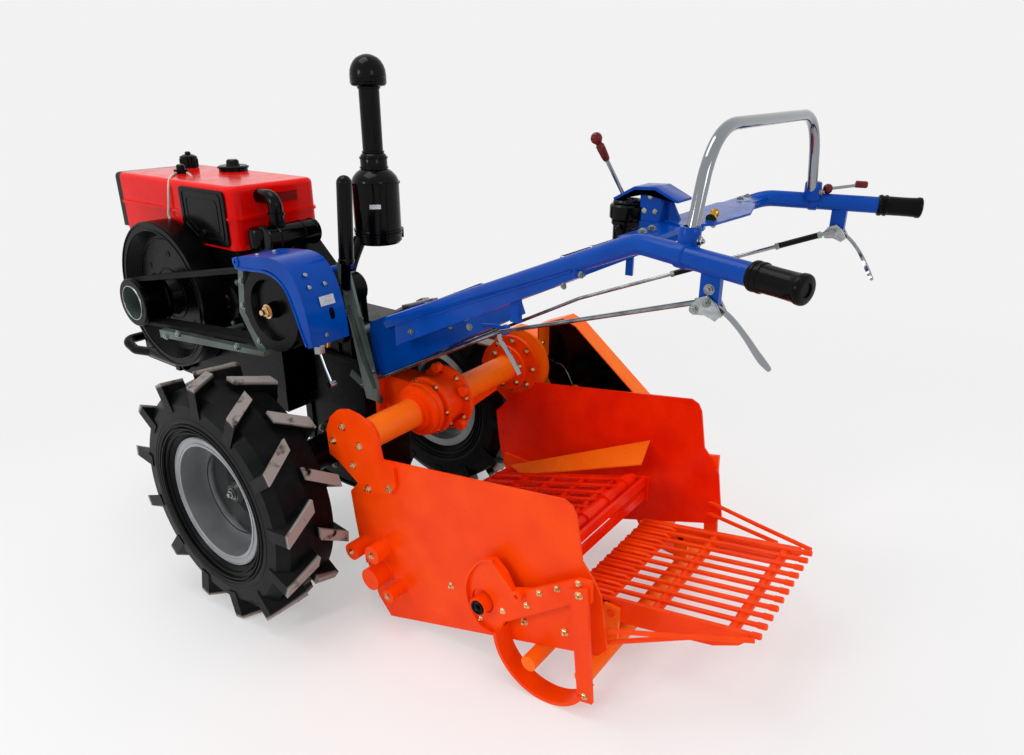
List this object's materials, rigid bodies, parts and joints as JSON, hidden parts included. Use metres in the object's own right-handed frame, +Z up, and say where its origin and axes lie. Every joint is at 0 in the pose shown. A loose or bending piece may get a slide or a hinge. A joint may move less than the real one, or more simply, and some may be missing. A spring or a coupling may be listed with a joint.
{
  "type": "walking tractor with potato digger",
  "caption": "Two-wheel walking tractor with a single-cylinder engine, bent handlebars and a rear-mounted potato digger with a shaking sieve and tined rear screen.",
  "frame": {"origin": "on the ground under the middle of the machine", "axes": "+X to the machine's left side, -Y forward (engine end), +Z up; the machine stands on its tyres and skid runners"},
  "size_m": [0.957, 2.279, 1.3208],
  "materials": {
    "orange_paint": "satin gloss",
    "blue_paint": "gloss",
    "red_paint": "gloss",
    "black_paint": "gloss",
    "black_cast": "semi-gloss paint",
    "black_plastic": "gloss",
    "zinc_steel": "zinc plated",
    "chrome": "polished",
    "rim_paint": "satin",
    "tyre_rubber": "matt",
    "grip_rubber": "satin",
    "belt_rubber": "matt"
  },
  "bodies": {
    "tractor": {"air_cleaner": "black_paint", "belt_channel": "zinc_steel", "chain_guard": "orange_paint", "clutch_guard": "blue_paint", "clutch_levers": "chrome", "console": "blue_paint", "control_rods": "zinc_steel", "cross_tube": "orange_paint", "cylinder_head": "black_cast", "deflectors": "orange_paint", "digging_share": "orange_paint", "drive_belts": "belt_rubber", "drive_box": "orange_paint", "engine_block": "black_cast", "front_bumper": "black_paint", "front_frame": "black_paint", "fuel_tank": "red_paint", "gear_lever": "black_plastic", "gearbox": "black_cast", "grips": "grip_rubber", "guard_hoop": "chrome", "handle_box": "blue_paint", "handlebar_left": "blue_paint", "handlebar_right": "blue_paint", "lever_quadrant": "zinc_steel", "muffler": "black_paint", "power_housing": "orange_paint", "side_plate_left": "orange_paint", "side_plate_right": "orange_paint", "skid_left": "orange_paint", "skid_right": "orange_paint", "speed_levers": "black_plastic", "stay_tubes": "orange_paint", "tank_fittings": "black_plastic", "tube_brackets": "orange_paint"},
    "wheel_left": {"tyre_left": "tyre_rubber", "rim_left": "rim_paint", "hub_left": "rim_paint"},
    "wheel_right": {"tyre_right": "tyre_rubber", "rim_right": "rim_paint", "hub_right": "rim_paint"},
    "crank": {"flywheel": "black_cast", "belt_pulley": "black_cast"},
    "clutch": {"clutch_pulley": "black_cast"},
    "eccentric": {"eccentric_shaft": "orange_paint"},
    "sieve_body": {"sieve": "orange_paint"},
    "screen_body": {"rear_screen": "orange_paint"}
  },
  "joints": [
    {"name": "wheel_left_roll", "type": "hinge", "parent": "tractor", "child": "wheel_left", "pos_m": [0.395, -0.22034, 0.315], "axis": [1, 0, 0], "continuous": true},
    {"name": "wheel_right_roll", "type": "hinge", "parent": "tractor", "child": "wheel_right", "pos_m": [-0.395, -0.22034, 0.315], "axis": [1, 0, 0], "continuous": true},
    {"name": "crank_turn", "type": "hinge", "parent": "tractor", "child": "crank", "pos_m": [0.18, -0.71317, 0.75124], "axis": [1, 0, 0], "continuous": true},
    {"name": "clutch_turn", "type": "hinge", "parent": "tractor", "child": "clutch", "pos_m": [0.26, -0.0644, 0.76161], "axis": [1, 0, 0], "continuous": true},
    {"name": "eccentric_turn", "type": "hinge", "parent": "tractor", "child": "eccentric", "pos_m": [0, 0.47965, 0.17652], "axis": [1, 0, 0], "continuous": true},
    {"name": "sieve_shake", "type": "hinge", "parent": "tractor", "child": "sieve_body", "pos_m": [0, 0.14819, 0.17125], "axis": [1, 0, 0], "range_deg": [-1.2, 1.2]},
    {"name": "screen_shake", "type": "hinge", "parent": "tractor", "child": "screen_body", "pos_m": [0, 0.70247, 0.13744], "axis": [1, 0, 0], "range_deg": [-2.5, 2.5]}
  ],
  "couplings": [
    {"joint": "clutch_turn", "follows": "crank_turn", "ratio": 0.64368}
  ]
}
